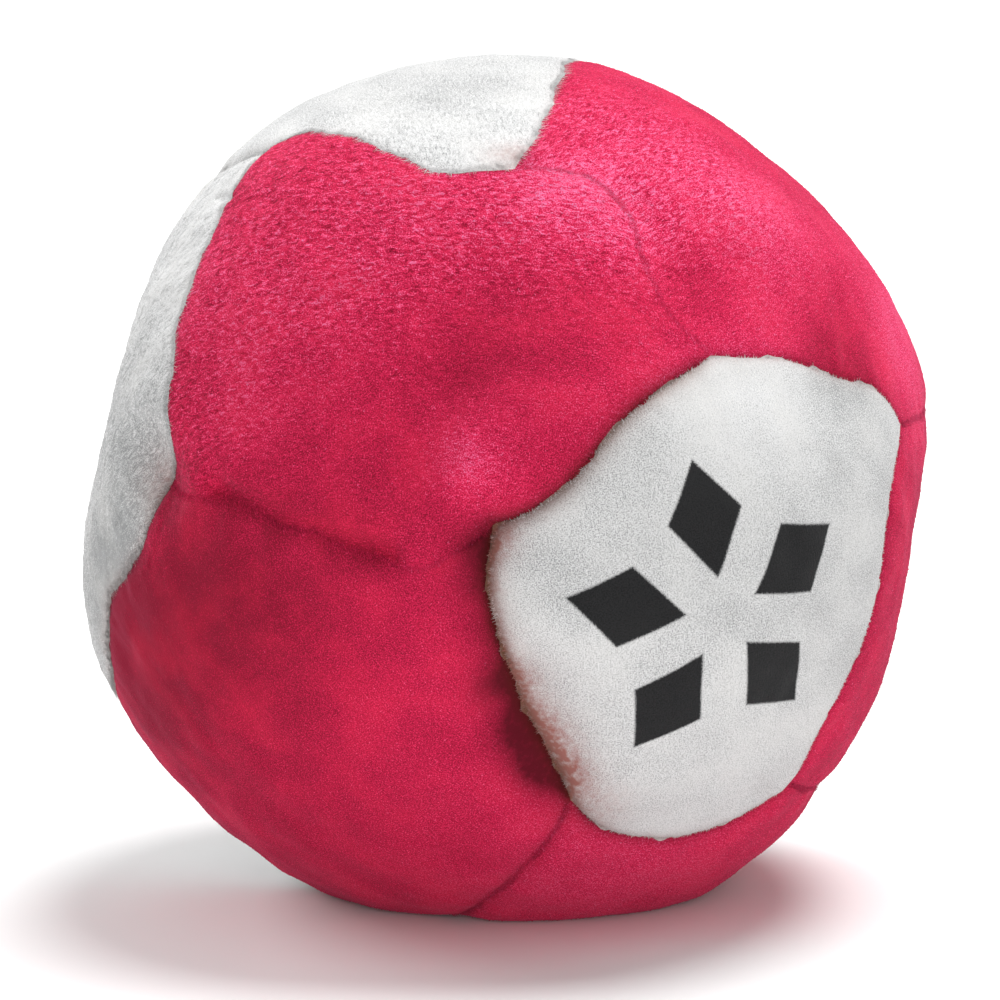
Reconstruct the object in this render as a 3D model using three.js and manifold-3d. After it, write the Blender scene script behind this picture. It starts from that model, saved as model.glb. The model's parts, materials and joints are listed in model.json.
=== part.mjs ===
// A footbag: twelve pentagons of short-napped suede, sewn edge to edge inside out with a
// running stitch, turned, and filled with loose pellets until it stands as a soft ball.
// It stands on a part of itself that its own weight has pressed flat, at z = 0.
import * as THREE from 'three';
import { mergeVertices } from 'three/addons/utils/BufferGeometryUtils.js';
import Module from 'manifold-3d';

const wasm = await Module();
wasm.setup();

// Sizes of the filled bag, in millimetres
const ballRadius = 28;
const sitHeight = 26.1; // the ball's centre above the surface that the bag stands on
const sitSoftness = 0.6; // how gently the suede lifts off that surface
const seamDepth = 1; // how far a seam lies below the ball's round surface
const seamRoll = 2.6; // width of the curve in which a panel rolls over into its seam

// Sizes of the suede and of its turned-in edges
const suedeThickness = 1;
const seamAllowance = 3.2;
const seamGap = 0.3; // between the two allowances of a seam

// Sizes of the stitching, which runs through both allowances inside the bag
const threadThickness = 0.5;
const stitchDrop = 1.5; // from the seam down to the line of stitches
const stitchPitch = 4.2;
const stitchFree = 2.6; // bare end of a seam, where three seams meet
const needlePlay = 0.2; // how much larger than the thread a needle hole is, on each side
const layGap = 0.3; // between the suede and what lies on it
const edgeGap = 0.5; // between the cut edges of the allowances and the pellets under them

// Where three seams meet: the turn from the front towards the right, and the height above the
// ball's middle, both in degrees
const cornerPlaces = {
  frontMiddle: { turnDegrees: -1, heightDegrees: 4 },
  frontLow: { turnDegrees: 9, heightDegrees: -35 },
  frontHigh: { turnDegrees: 30, heightDegrees: 26 },
  rightLow: { turnDegrees: 53, heightDegrees: -36 },
  rightMiddle: { turnDegrees: 67, heightDegrees: 12 },
  leftMiddle: { turnDegrees: -52, heightDegrees: 6.5 },
  leftLow: { turnDegrees: -88, heightDegrees: -30 },
  topFront: { turnDegrees: 3.5, heightDegrees: 58.5 },
  topLeft: { turnDegrees: -72, heightDegrees: 55 },
  topBack: { turnDegrees: 147, heightDegrees: 63 },
  underFront: { turnDegrees: -59, heightDegrees: -76 },
  underBack: { turnDegrees: -159, heightDegrees: -72 },
  backRightLow: { turnDegrees: 111, heightDegrees: -40 },
  backRightHigh: { turnDegrees: 110, heightDegrees: 8 },
  backRight: { turnDegrees: 139, heightDegrees: -11 },
  backHigh: { turnDegrees: -166, heightDegrees: 37 },
  backMiddle: { turnDegrees: -179, heightDegrees: -3 },
  backLow: { turnDegrees: -147, heightDegrees: -31 },
  backLeftHigh: { turnDegrees: -115, heightDegrees: 33 },
  backLeft: { turnDegrees: -109, heightDegrees: -8 },
};

// The twelve panels: colour, and corners in counter-clockwise order as seen from outside
const panelLayout = {
  front: ['white', 'frontMiddle', 'frontLow', 'rightLow', 'rightMiddle', 'frontHigh'],
  upper_left: ['red', 'frontHigh', 'topFront', 'topLeft', 'leftMiddle', 'frontMiddle'],
  lower_left: ['red', 'frontMiddle', 'leftMiddle', 'leftLow', 'underFront', 'frontLow'],
  bottom: ['red', 'frontLow', 'underFront', 'underBack', 'backRightLow', 'rightLow'],
  right: ['red', 'rightLow', 'backRightLow', 'backRight', 'backRightHigh', 'rightMiddle'],
  upper_right: ['red', 'rightMiddle', 'backRightHigh', 'topBack', 'topFront', 'frontHigh'],
  top: ['white', 'topFront', 'topBack', 'backHigh', 'backLeftHigh', 'topLeft'],
  left: ['white', 'leftMiddle', 'topLeft', 'backLeftHigh', 'backLeft', 'leftLow'],
  low_left: ['white', 'underFront', 'leftLow', 'backLeft', 'backLow', 'underBack'],
  low_back: ['white', 'backRightLow', 'underBack', 'backLow', 'backMiddle', 'backRight'],
  back_right: ['white', 'backRightHigh', 'backRight', 'backMiddle', 'backHigh', 'topBack'],
  back_left: ['red', 'backLeftHigh', 'backHigh', 'backMiddle', 'backLow', 'backLeft'],
};

// How a seam strays from the straight line between its corners, as shares of the ball's radius:
// its bow towards the panel named first, and its sway, which makes it an S
const seamBendShares = {
  'front lower_left': [-0.04, -0.03],
  'front bottom': [-0.11, 0],
  'front right': [0.08, -0.02],
  'front upper_right': [-0.05, -0.02],
  'front upper_left': [-0.01, 0],
  'upper_left upper_right': [-0.06, 0.06],
  'upper_left top': [0.068, 0.072],
  'upper_left left': [0.05, 0.008],
  'upper_left lower_left': [-0.045, 0.06],
  'lower_left left': [0.01, 0.03],
  'lower_left bottom': [0.02, 0],
  'upper_right top': [-0.02, -0.02],
  'top back_left': [0.04, -0.02],
  'left back_left': [-0.03, 0.02],
  'low_back back_right': [0.04, 0.02],
  'right back_right': [-0.03, -0.03],
};

// Where the pellets push the suede out, or leave it slack: the turn and the height of the place
// and how far it spreads, all in degrees, and its rise as a share of the ball's radius
const lumpShares = [
  { turnDegrees: 90, heightDegrees: 10, spreadDegrees: 15, riseShare: 0.008 },
  { turnDegrees: 100, heightDegrees: 44, spreadDegrees: 15, riseShare: -0.022 },
  { turnDegrees: 135, heightDegrees: 76, spreadDegrees: 15, riseShare: 0.018 },
  { turnDegrees: -110, heightDegrees: 63, spreadDegrees: 15, riseShare: 0.012 },
  { turnDegrees: -98, heightDegrees: 39, spreadDegrees: 15, riseShare: -0.01 },
  { turnDegrees: -92, heightDegrees: 12, spreadDegrees: 15, riseShare: -0.068 },
  { turnDegrees: -85, heightDegrees: -25, spreadDegrees: 15, riseShare: 0.022 },
  { turnDegrees: -73, heightDegrees: -59, spreadDegrees: 15, riseShare: 0.012 },
  { turnDegrees: 68, heightDegrees: -65, spreadDegrees: 15, riseShare: 0.035 },
  { turnDegrees: 0, heightDegrees: -90, spreadDegrees: 26, riseShare: 0.03 },
  { turnDegrees: 88, heightDegrees: -10, spreadDegrees: 15, riseShare: -0.055 },
  { turnDegrees: -1, heightDegrees: 4, spreadDegrees: 6, riseShare: -0.045 },
  { turnDegrees: 4, heightDegrees: -20, spreadDegrees: 7, riseShare: -0.035 },
  { turnDegrees: -4, heightDegrees: 32, spreadDegrees: 9, riseShare: -0.03 },
  { turnDegrees: -13, heightDegrees: 17, spreadDegrees: 7, riseShare: -0.02 },
  { turnDegrees: 13, heightDegrees: 20, spreadDegrees: 7, riseShare: 0.02 },
  { turnDegrees: 28, heightDegrees: -7, spreadDegrees: 14, riseShare: 0.03 },
  { turnDegrees: -50, heightDegrees: 53, spreadDegrees: 9, riseShare: 0.02 },
  { turnDegrees: -56, heightDegrees: 10, spreadDegrees: 5, riseShare: -0.03 },
  { turnDegrees: 53, heightDegrees: 22, spreadDegrees: 7, riseShare: -0.025 },
  { turnDegrees: 47, heightDegrees: 44, spreadDegrees: 8, riseShare: 0.02 },
  { turnDegrees: -36, heightDegrees: 72, spreadDegrees: 7, riseShare: -0.02 },
  { turnDegrees: 170, heightDegrees: 18, spreadDegrees: 14, riseShare: -0.03 },
  { turnDegrees: 150, heightDegrees: -20, spreadDegrees: 12, riseShare: 0.02 },
  { turnDegrees: -145, heightDegrees: 8, spreadDegrees: 14, riseShare: 0.025 },
];

// How finely the surfaces are divided
const stepsPerSeam = 5;
const faceRingShares = [0.38, 0.72]; // rings of a panel's face, from its middle out to the roll
const backRingShares = [0.55]; // rings of its back and of the filling behind it
const roundingPasses = 3; // how often a ring is evened out on its way to the middle
const rollShares = [
  [1, 0],
  [0.42, 0.42],
]; // rings in the roll: the share of its width, and the share of the seam's depth

const colours = { red: '#c92f55', white: '#e8e6e3', thread: '#f1ece4', pellets: '#d9d4c6' };

// Directions on the ball
const radians = THREE.MathUtils.degToRad;

function direction({ turnDegrees, heightDegrees }) {
  const turn = radians(turnDegrees);
  const height = radians(heightDegrees);
  const level = Math.cos(height);
  return new THREE.Vector3(level * Math.sin(turn), -level * Math.cos(turn), Math.sin(height));
}

const corners = {};
for (const [name, place] of Object.entries(cornerPlaces)) corners[name] = direction(place);

const lumps = lumpShares.map((lump) => ({
  middle: direction(lump),
  spread: radians(lump.spreadDegrees),
  riseShare: lump.riseShare,
}));

// The filled bag's round surface, lumpy as it is and pressed flat underneath
function roundRadius(way) {
  let share = 1;
  for (const lump of lumps) {
    const away = way.angleTo(lump.middle) / lump.spread;
    share += lump.riseShare * Math.exp((-away * away) / 2);
  }
  return ballRadius * share;
}

function settle(height) {
  if (height <= -sitSoftness) return 0;
  if (height >= sitSoftness) return height;
  return (height + sitSoftness) ** 2 / (4 * sitSoftness);
}

// The point at a depth below that surface, seen from the ball's centre
function pointAt(way, depth) {
  const point = way.clone().multiplyScalar(roundRadius(way));
  point.z = settle(point.z + sitHeight) - sitHeight;
  return point.addScaledVector(way, -depth);
}

// A seam runs from corner to corner along the ball, with its bow and its sway
function seamWays(from, to, [bow, sway]) {
  const start = corners[from];
  const end = corners[to];
  const angle = start.angleTo(end);
  const side = new THREE.Vector3().crossVectors(start, end).normalize();
  const ways = [];
  for (let step = 0; step <= stepsPerSeam; step++) {
    const along = step / stepsPerSeam;
    const stray = bow * Math.sin(Math.PI * along) + sway * Math.sin(2 * Math.PI * along);
    const way = new THREE.Vector3()
      .addScaledVector(start, Math.sin((1 - along) * angle) / Math.sin(angle))
      .addScaledVector(end, Math.sin(along * angle) / Math.sin(angle))
      .addScaledVector(side, stray);
    ways.push(way.normalize());
  }
  return ways;
}

const seams = [];
const panels = Object.entries(panelLayout).map(([name, [colour, ...names]]) => {
  const sides = names.map((from, i) => {
    const to = names[(i + 1) % names.length];
    const shared = seams.find((seam) => seam.from === to && seam.to === from);
    if (shared) {
      shared.second = name;
      return { seam: shared, backwards: true };
    }
    const seam = { first: name, from, to };
    seams.push(seam);
    return { seam, backwards: false };
  });
  return { name, colour, sides };
});
for (const seam of seams) {
  const bend = seamBendShares[`${seam.first} ${seam.second}`] ?? [0, 0];
  seam.ways = seamWays(seam.from, seam.to, bend);
}

// The seam's own inward normals at a step: towards the panel on its left
function inward(way, before, after) {
  const ahead = new THREE.Vector3().subVectors(after, before);
  return new THREE.Vector3().crossVectors(way, ahead).normalize();
}

// A panel's outline of directions, and for each the way straight in from both its seams
for (const panel of panels) {
  const sides = panel.sides.map(({ seam, backwards }) =>
    backwards ? [...seam.ways].reverse() : seam.ways,
  );
  panel.outline = sides.flatMap((ways) => ways.slice(0, -1));
  panel.middle = new THREE.Vector3();
  for (const way of panel.outline) panel.middle.add(way);
  panel.middle.normalize();
  const count = panel.outline.length;
  panel.inwards = panel.outline.map((way, i) => {
    const before = panel.outline[(i + count - 1) % count];
    const after = panel.outline[(i + 1) % count];
    const arriving = inward(way, before, way);
    const leaving = inward(way, way, after);
    const mitre = arriving.clone().add(leaving);
    return mitre.divideScalar(1 + arriving.dot(leaving));
  });
}

// The outline drawn in by a distance on the ball
function inset(panel, distance) {
  return panel.outline.map((way, i) =>
    way.clone().multiplyScalar(ballRadius).addScaledVector(panel.inwards[i], distance).normalize(),
  );
}

// The outline drawn towards the panel's middle, and rounded off on the way
function towardsMiddle(panel, ways, share) {
  let round = ways;
  for (let pass = 0; pass < roundingPasses; pass++) {
    round = round.map((way, i) => {
      const sides = round.at(i - 1).clone().add(round[(i + 1) % round.length]);
      return sides.addScaledVector(way, 2).normalize();
    });
  }
  return round.map((way) => panel.middle.clone().lerp(way, share).normalize());
}

const ringPoints = (ways, depth) => ways.map((way) => pointAt(way, depth));

// A skin's triangles: a fan about a point, and bands that join rings of equal count
function addFan(triangles, point, ring) {
  ring.forEach((corner, i) => triangles.push(point, corner, ring[(i + 1) % ring.length]));
}

function addBands(triangles, rings) {
  for (let i = 1; i < rings.length; i++) {
    const [inner, outer] = [rings[i - 1], rings[i]];
    inner.forEach((corner, j) => {
      const next = (j + 1) % inner.length;
      triangles.push(corner, outer[j], outer[next]);
      triangles.push(corner, outer[next], inner[next]);
    });
  }
}

function toGeometry(triangles) {
  const geometry = new THREE.BufferGeometry().setFromPoints(triangles);
  return mergeVertices(geometry);
}

function toSolid(geometry) {
  const mesh = new wasm.Mesh({
    numProp: 3,
    vertProperties: geometry.attributes.position.array,
    triVerts: new Uint32Array(geometry.index.array),
  });
  return new wasm.Manifold(mesh);
}

function fromSolid(solid) {
  const { vertProperties, triVerts } = solid.getMesh();
  const geometry = new THREE.BufferGeometry();
  geometry.setAttribute('position', new THREE.BufferAttribute(vertProperties, 3));
  geometry.setIndex(new THREE.BufferAttribute(triVerts, 1));
  return geometry;
}

// Distances from a seam, and depths at them, that a panel, its thread and the filling share
const rimDistance = seamGap / 2;
const foldDistance = rimDistance + suedeThickness;
const threadLeft = foldDistance + layGap + threadThickness / 2;
const gutterDistance = threadLeft + threadThickness / 2 + layGap;
const cutEdgeDepth = seamDepth + seamAllowance;
const foldDepth = suedeThickness + seamDepth / 2;
const gutterSink = seamDepth / 5;

// Rings at a depth, between a panel's middle and the ring where its edge begins
function ringsWithin(panel, edge, shares, depth) {
  return shares.map((share) => ringPoints(towardsMiddle(panel, edge, share), depth));
}

// The back of a panel's body, which the front of the filling follows
function backSkin(panel, depth) {
  const gutter = inset(panel, gutterDistance);
  const edge = ringPoints(gutter, depth + gutterSink);
  const rings = [...ringsWithin(panel, gutter, backRingShares, depth), edge];
  const triangles = [];
  addFan(triangles, pointAt(panel.middle, depth), rings[0]);
  addBands(triangles, rings);
  return { triangles, edge };
}

// A panel: its crowned face rolls over into the seam, the allowance turns straight in, and the
// inside of the suede follows at its thickness
function panelSkin(panel) {
  const rollStart = inset(panel, rimDistance + seamRoll);
  const rim = inset(panel, rimDistance);
  const fold = inset(panel, foldDistance);
  const back = backSkin(panel, suedeThickness);
  const rings = ringsWithin(panel, rollStart, faceRingShares, 0);
  for (const [widthShare, depthShare] of rollShares) {
    const ways = inset(panel, rimDistance + seamRoll * widthShare);
    rings.push(ringPoints(ways, seamDepth * depthShare));
  }
  rings.push(ringPoints(rim, seamDepth));
  rings.push(ringPoints(rim, cutEdgeDepth));
  rings.push(ringPoints(fold, cutEdgeDepth));
  rings.push(ringPoints(fold, foldDepth));
  rings.push(back.edge);
  const triangles = [];
  addFan(triangles, pointAt(panel.middle, 0), rings[0]);
  addBands(triangles, rings);
  triangles.push(...back.triangles.reverse());
  return toGeometry(triangles);
}

// Places beside a seam: so far along it, so far to its left, and so deep under the surface
function besideSeam(seam, along, left, depth) {
  const step = Math.min(Math.floor(along / seam.reach), stepsPerSeam - 1);
  const way = drawnAside(seam, step, left);
  way.lerp(drawnAside(seam, step + 1, left), along / seam.reach - step);
  return pointAt(way.normalize(), depth);
}

function drawnAside(seam, step, left) {
  const way = seam.ways[step];
  const before = seam.ways[Math.max(step, 1) - 1];
  const after = seam.ways[Math.min(step + 1, stepsPerSeam)];
  const mitre = step > 0 ? inward(way, before, way) : inward(way, way, after);
  if (step > 0 && step < stepsPerSeam) {
    const leaving = inward(way, way, after);
    const sum = 1 + mitre.dot(leaving);
    mitre.add(leaving).divideScalar(sum);
  }
  return way.clone().multiplyScalar(ballRadius).addScaledVector(mitre, left).normalize();
}

for (const seam of seams) {
  seam.length = 0;
  for (let i = 1; i < seam.ways.length; i++) {
    seam.length += seam.ways[i - 1].angleTo(seam.ways[i]) * ballRadius;
  }
  seam.reach = seam.length / stepsPerSeam;
  const sewn = seam.length - 2 * stitchFree;
  seam.stitches = Math.max(2, Math.round(sewn / stitchPitch));
  seam.pitch = sewn / seam.stitches;
}

// A square cord beside a seam, through turns given as places along and to the left of it
function cordBeside(seam, turns, thickness) {
  const half = thickness / 2;
  const depth = seamDepth + stitchDrop;
  const sections = turns.map(([along, left], i) => {
    const arriving = turns[Math.max(i, 1) - 1];
    const leaving = turns[Math.min(i + 1, turns.length - 1)];
    const before = i > 0 ? unitBetween(arriving, turns[i]) : unitBetween(turns[i], leaving);
    const after = i < turns.length - 1 ? unitBetween(turns[i], leaving) : before;
    const spread = half / (1 + before[0] * after[0] + before[1] * after[1]);
    const aside = [-(before[1] + after[1]) * spread, (before[0] + after[0]) * spread];
    const place = (sign, rise) =>
      besideSeam(seam, along + sign * aside[0], left + sign * aside[1], depth + rise);
    return [place(1, half), place(-1, half), place(-1, -half), place(1, -half)];
  });
  const triangles = [];
  const [start, end] = [sections[0], sections.at(-1)];
  triangles.push(start[0], start[1], start[2], start[0], start[2], start[3]);
  addBands(triangles, sections);
  triangles.push(end[0], end[2], end[1], end[0], end[3], end[2]);
  return toGeometry(triangles);
}

function unitBetween([alongA, leftA], [alongB, leftB]) {
  const length = Math.hypot(alongB - alongA, leftB - leftA);
  return [(alongB - alongA) / length, (leftB - leftA) / length];
}

// The thread lies on one allowance for a stitch, goes through both, and lies on the other
function threadSkin(seam) {
  const turns = [];
  for (let stitch = 0; stitch < seam.stitches; stitch++) {
    const left = stitch % 2 ? -threadLeft : threadLeft;
    const start = stitchFree + stitch * seam.pitch;
    turns.push([start, left]);
    for (let step = 1; step < stepsPerSeam; step++) {
      const bend = step * seam.reach;
      if (bend > start + threadThickness && bend < start + seam.pitch - threadThickness) {
        turns.push([bend, left]);
      }
    }
    turns.push([start + seam.pitch, left]);
  }
  return cordBeside(seam, turns, threadThickness);
}

function needleHoles(seam) {
  const holes = [];
  for (let hole = 1; hole < seam.stitches; hole++) {
    const along = stitchFree + hole * seam.pitch;
    const turns = [
      [along, -threadLeft],
      [along, threadLeft],
    ];
    holes.push(toSolid(cordBeside(seam, turns, threadThickness + 2 * needlePlay)));
  }
  return holes;
}

// The pellets as one body: it fills each panel and dips under the allowances at every seam
function fillingSkin() {
  const triangles = [];
  for (const panel of panels) {
    const front = backSkin(panel, suedeThickness + layGap);
    const gutter = inset(panel, gutterDistance);
    const floor = ringPoints(gutter, cutEdgeDepth + edgeGap);
    const seamLine = ringPoints(panel.outline, cutEdgeDepth + edgeGap);
    triangles.push(...front.triangles);
    addBands(triangles, [front.edge, floor, seamLine]);
  }
  return toGeometry(triangles);
}

// The pieces, each its own mesh
const bag = new THREE.Group();

function addPiece(name, geometry, color, roughness) {
  const material = new THREE.MeshStandardMaterial({ color, roughness, metalness: 0 });
  const piece = new THREE.Mesh(geometry, material);
  piece.name = name;
  bag.add(piece);
}

for (const panel of panels) {
  let solid = toSolid(panelSkin(panel));
  for (const { seam } of panel.sides) {
    for (const hole of needleHoles(seam)) solid = solid.subtract(hole);
  }
  addPiece(`panel_${panel.name}`, fromSolid(solid), colours[panel.colour], 0.95);
}
for (const seam of seams) {
  addPiece(`thread_${seam.first}_to_${seam.second}`, threadSkin(seam), colours.thread, 0.6);
}
addPiece('pellet_filling', fillingSkin(), colours.pellets, 0.7);

// The bag stands on z = 0, with the middle of its outline over the origin
const outline = new THREE.Box3().setFromObject(bag);
const centre = outline.getCenter(new THREE.Vector3());
bag.position.set(-centre.x, -centre.y, sitHeight);

export default bag;
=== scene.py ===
import json
import math

import bpy
import numpy as np
from mathutils import Matrix, Vector

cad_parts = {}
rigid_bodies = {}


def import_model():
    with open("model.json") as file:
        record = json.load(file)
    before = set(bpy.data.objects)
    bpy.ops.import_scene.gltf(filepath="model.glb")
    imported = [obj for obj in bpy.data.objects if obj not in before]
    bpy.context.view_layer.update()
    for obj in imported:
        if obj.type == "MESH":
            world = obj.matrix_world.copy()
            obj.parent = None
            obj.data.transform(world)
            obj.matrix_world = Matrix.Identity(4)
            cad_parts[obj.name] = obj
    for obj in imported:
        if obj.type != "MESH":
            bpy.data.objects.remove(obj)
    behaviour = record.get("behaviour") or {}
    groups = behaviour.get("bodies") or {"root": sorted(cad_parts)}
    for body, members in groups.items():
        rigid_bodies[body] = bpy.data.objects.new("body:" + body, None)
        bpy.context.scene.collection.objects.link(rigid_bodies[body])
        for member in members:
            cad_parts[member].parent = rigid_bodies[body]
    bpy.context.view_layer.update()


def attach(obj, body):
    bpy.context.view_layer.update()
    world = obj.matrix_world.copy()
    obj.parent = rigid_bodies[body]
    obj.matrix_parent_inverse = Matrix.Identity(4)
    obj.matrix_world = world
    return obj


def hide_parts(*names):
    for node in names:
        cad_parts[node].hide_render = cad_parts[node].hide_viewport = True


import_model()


# The cut
# A panel starts as a flat pentagon of short-napped synthetic suede, cut with a die. Its allowance
# is turned in all round, to be sewn to the next panel's inside the bag, and the wrong side follows.
mm = 0.001
cut_radius = 15 * mm
suede_thickness = 1 * mm
seam_allowance = 3.2 * mm
cut_sides = 5
cuts_across = 75
fold_share = 0.93
wrong_side_share = 0.5


def flat_cut():
    bpy.ops.object.select_all(action="DESELECT")
    bpy.ops.mesh.primitive_circle_add(vertices=cut_sides, radius=cut_radius, fill_type="NGON")
    cut = bpy.context.active_object
    quarters = cut.modifiers.new("quarters", "SUBSURF")
    quarters.subdivision_type = "SIMPLE"
    quarters.levels = quarters.render_levels = 1
    bpy.ops.object.modifier_apply(modifier=quarters.name)
    bpy.ops.object.mode_set(mode="EDIT")
    bpy.ops.mesh.select_all(action="SELECT")
    bpy.ops.mesh.subdivide(number_cuts=cuts_across)
    bpy.ops.mesh.select_mode(type="EDGE")
    bpy.ops.mesh.region_to_loop()
    bpy.ops.mesh.mark_sharp()
    drop_the_edge(-seam_allowance)
    draw_the_edge_in(fold_share)
    drop_the_edge(seam_allowance - suede_thickness)
    draw_the_edge_in(wrong_side_share)
    drop_the_edge(0)
    bpy.ops.mesh.merge(type="CENTER")
    bpy.ops.mesh.select_all(action="SELECT")
    bpy.ops.mesh.normals_make_consistent(inside=False)
    bpy.ops.object.mode_set(mode="OBJECT")
    return cut


def drop_the_edge(rise):
    bpy.ops.mesh.extrude_edges_move(TRANSFORM_OT_translate={"value": (0, 0, rise)})


def draw_the_edge_in(share):
    drop_the_edge(0)
    bpy.ops.transform.resize(value=(share, share, 1))


# The sewn bag
# Twelve cuts are sewn edge to edge inside out with a running stitch, turned, and filled. Here are
# where three seams meet, which panels they bound, and how the filling bulges and creases them.
ball_radius = 28 * mm
sit_height = 26.1 * mm
sit_softness = 0.6 * mm

# The turn from the front towards the right, and the height above the ball's middle, in degrees
corner_degrees = {
    "frontMiddle": (-1.7, 5.1),
    "frontLow": (10.7, -35.8),
    "frontHigh": (30.6, 26.1),
    "rightLow": (54.8, -37.1),
    "rightMiddle": (69.9, 12.2),
    "leftMiddle": (-54.2, 7),
    "leftLow": (-88, -30),
    "topFront": (2.3, 56.4),
    "topLeft": (-72, 55),
    "topBack": (147, 63),
    "underFront": (-59, -76),
    "underBack": (-159, -72),
    "backRightLow": (111, -40),
    "backRightHigh": (110, 8),
    "backRight": (139, -11),
    "backHigh": (-166, 37),
    "backMiddle": (-179, -3),
    "backLow": (-147, -31),
    "backLeftHigh": (-115, 33),
    "backLeft": (-109, -8),
}

# Each panel's colour, the lay of its nap in degrees from the level, how long the nap has stayed
# as a share of new cloth's, and the panel's corners
panel_layout = {
    "front": ("white", 100, 0.6, "frontMiddle", "frontLow", "rightLow", "rightMiddle", "frontHigh"),
    "upper_left": ("red", 4, 1, "frontHigh", "topFront", "topLeft", "leftMiddle", "frontMiddle"),
    "lower_left": ("red", -60, 0.7, "frontMiddle", "leftMiddle", "leftLow", "underFront", "frontLow"),
    "bottom": ("red", 20, 0.9, "frontLow", "underFront", "underBack", "backRightLow", "rightLow"),
    "right": ("red", 75, 1, "rightLow", "backRightLow", "backRight", "backRightHigh", "rightMiddle"),
    "upper_right": ("red", -12, 0.9, "rightMiddle", "backRightHigh", "topBack", "topFront", "frontHigh"),
    "top": ("white", 30, 0.7, "topFront", "topBack", "backHigh", "backLeftHigh", "topLeft"),
    "left": ("white", 55, 1.6, "leftMiddle", "topLeft", "backLeftHigh", "backLeft", "leftLow"),
    "low_left": ("white", -20, 1.1, "underFront", "leftLow", "backLeft", "backLow", "underBack"),
    "low_back": ("white", 110, 0.8, "backRightLow", "underBack", "backLow", "backMiddle", "backRight"),
    "back_right": ("white", 15, 0.9, "backRightHigh", "backRight", "backMiddle", "backHigh", "topBack"),
    "back_left": ("red", 130, 1, "backLeftHigh", "backHigh", "backMiddle", "backLow", "backLeft"),
}

# How a seam strays from straight, as shares of the ball's radius: its bow, its sway, and waves of
# three to five bends
seam_bend_shares = {
    "front lower_left": (-0.056, -0.013, -0.003, -0.005),
    "front bottom": (-0.086, -0.012, -0.001, -0.003),
    "front right": (0.098, -0.012, 0.027),
    "front upper_right": (-0.047, -0.012, -0.007, -0.006),
    "front upper_left": (0.002, -0.02, 0.007, 0.001),
    "upper_left upper_right": (-0.06, 0.06),
    "upper_left top": (0.045, 0.049, 0.008, 0.007),
    "upper_left left": (0.055, -0.019, 0.016, -0.011),
    "upper_left lower_left": (-0.064, 0.043, -0.026, 0.007, -0.009),
    "lower_left left": (0.062, 0.008, 0.029, 0.012),
    "lower_left bottom": (0.02, 0),
    "upper_right top": (-0.024, -0.025, -0.003, -0.003),
    "top back_left": (0.04, -0.02),
    "left back_left": (-0.03, 0.02),
    "low_back back_right": (0.04, 0.02),
    "right back_right": (-0.03, -0.03),
}

# A lump's turn, height and spread in degrees, and its rise as a share of the ball's radius
lump_shares = [
    ((90, 10), 15, 0.008),
    ((84, -24), 9, 0.013),
    ((93, 14), 8, 0.02),
    ((98, 38), 8, 0.015),
    ((-107, 58), 7, 0.012),
    ((-98, 41), 7, 0.008),
    ((-87, -16), 12, 0.011),
    ((100, 44), 15, -0.022),
    ((135, 76), 15, 0.018),
    ((-110, 63), 15, 0.012),
    ((-98, 39), 15, -0.01),
    ((-92, 12), 15, -0.068),
    ((-85, -25), 15, 0.022),
    ((-73, -59), 15, 0.012),
    ((68, -65), 15, 0.035),
    ((0, -90), 26, 0.03),
    ((88, -10), 15, -0.055),
    ((-1, 4), 6, -0.045),
    ((4, -20), 7, -0.035),
    ((-4, 32), 9, -0.03),
    ((-13, 17), 7, -0.02),
    ((13, 20), 7, 0.02),
    ((28, -7), 14, 0.03),
    ((-50, 53), 9, 0.02),
    ((-56, 10), 5, -0.03),
    ((53, 22), 7, -0.025),
    ((47, 44), 8, 0.02),
    ((-36, 72), 7, -0.02),
    ((170, 18), 14, -0.03),
    ((150, -20), 12, 0.02),
    ((-145, 8), 14, 0.025),
]

# A seam's depth at its start, middle and end, and how far in the panel named first and the one
# named second roll down to it
seam_rolls = {
    "front lower_left": ((1.8 * mm, 2 * mm, 1.6 * mm), 1.1 * mm, 3.8 * mm),
    "front upper_left": ((0.5 * mm, 0.7 * mm, 1.2 * mm), 1.5 * mm, 1.4 * mm),
    "front upper_right": ((0.3 * mm, 0.3 * mm, 0.25 * mm), 0.8 * mm, 1.4 * mm),
    "front right": ((0.35 * mm, 0.35 * mm, 0.3 * mm), 0.8 * mm, 1.6 * mm),
    "front bottom": ((0.8 * mm, 0.5 * mm, 0.4 * mm), 1.2 * mm, 2 * mm),
    "upper_left upper_right": ((0.02 * mm, 0.08 * mm, 0.06 * mm), 1.2 * mm, 3.6 * mm),
    "upper_left lower_left": ((0.25 * mm, 0.08 * mm, 0.02 * mm), 1.8 * mm, 0.5 * mm),
    "upper_left top": ((0.15 * mm, 0.15 * mm, 0.15 * mm), 1.8 * mm, 0.8 * mm),
    "upper_left left": ((0.15 * mm, 0.15 * mm, 0.2 * mm), 1.8 * mm, 0.8 * mm),
    "upper_right top": ((0.15 * mm, 0.15 * mm, 0.15 * mm), 1.8 * mm, 0.8 * mm),
    "lower_left left": ((0.4 * mm, 0.4 * mm, 0.4 * mm), 1.4 * mm, 1 * mm),
    "right upper_right": ((0.5 * mm, 0.3 * mm, 0.12 * mm), 3 * mm, 3 * mm),
    "bottom right": ((0.7 * mm, 0.5 * mm, 0.3 * mm), 3 * mm, 3 * mm),
    "lower_left bottom": ((0.6 * mm, 0.5 * mm, 0.4 * mm), 2.2 * mm, 2.2 * mm),
}
usual_roll = ((0.7 * mm, 0.7 * mm, 0.7 * mm), 1.8 * mm, 1.8 * mm)
corner_depths = {
    "frontMiddle": 1.9 * mm,
    "frontHigh": 0.35 * mm,
    "topLeft": 0.5 * mm,
    "topFront": 0.3 * mm,
    "rightMiddle": 0.3 * mm,
    "rightLow": 0.5 * mm,
}
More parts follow.
